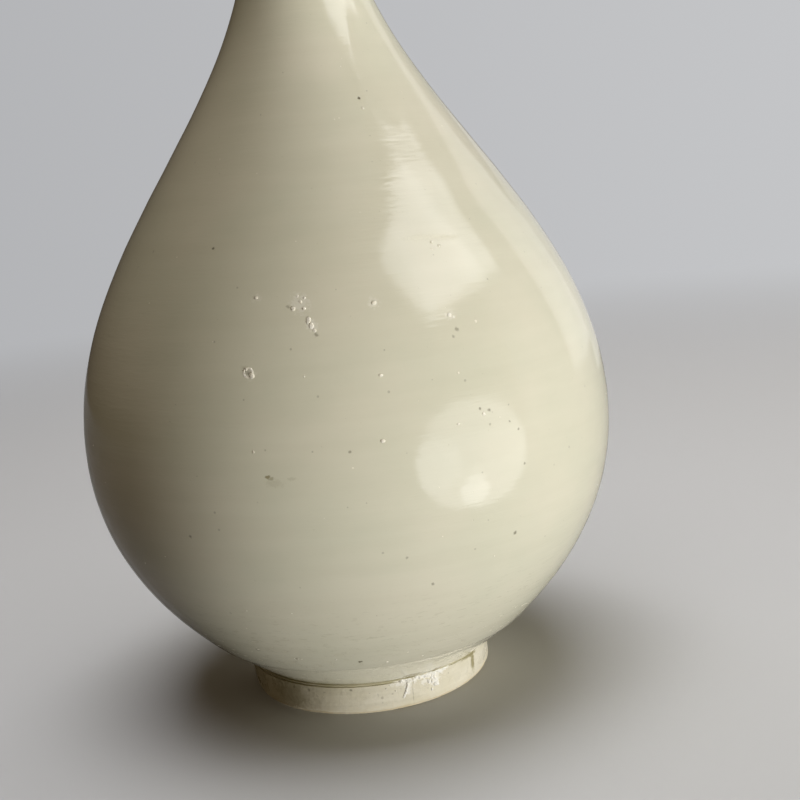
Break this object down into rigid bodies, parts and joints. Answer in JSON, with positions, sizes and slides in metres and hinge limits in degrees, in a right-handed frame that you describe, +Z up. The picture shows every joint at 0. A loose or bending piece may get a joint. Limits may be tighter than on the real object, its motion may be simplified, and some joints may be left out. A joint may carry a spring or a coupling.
{
  "type": "pear-shaped bottle vase",
  "caption": "Pear-shaped bottle vase with a trumpet mouth, slender neck, full low belly and a small offset foot ring, in glossy ivory-white glaze.",
  "frame": {"origin": "on the body's axis in the plane that the foot ring stands on", "axes": "+Z up along the body's axis, -Y towards the side that the picture shows, +X to its right"},
  "size_m": [0.165, 0.165, 0.2961],
  "materials": {
    "clay_body": "fired bare biscuit, matt",
    "luting_slip": "fired slip, matt",
    "ivory_glaze": "glossy",
    "thin_foot_glaze": "satin, thin over the clay",
    "pooled_olive_glaze": "glossy, thick",
    "white_crust": "rough, crusty"
  },
  "bodies": {
    "root": {"lower_bowl": "clay_body", "belly_seam_slip": "luting_slip", "upper_body": "clay_body", "neck_seam_slip": "luting_slip", "neck_and_mouth": "clay_body", "foot_ring": "clay_body", "foot_slip": "luting_slip", "outer_glaze": "ivory_glaze", "inner_glaze": "ivory_glaze", "foot_glaze": "thin_foot_glaze", "pooled_glaze": "pooled_olive_glaze", "recess_glaze": "thin_foot_glaze", "glaze_crust": "white_crust"}
  },
  "joints": []
}
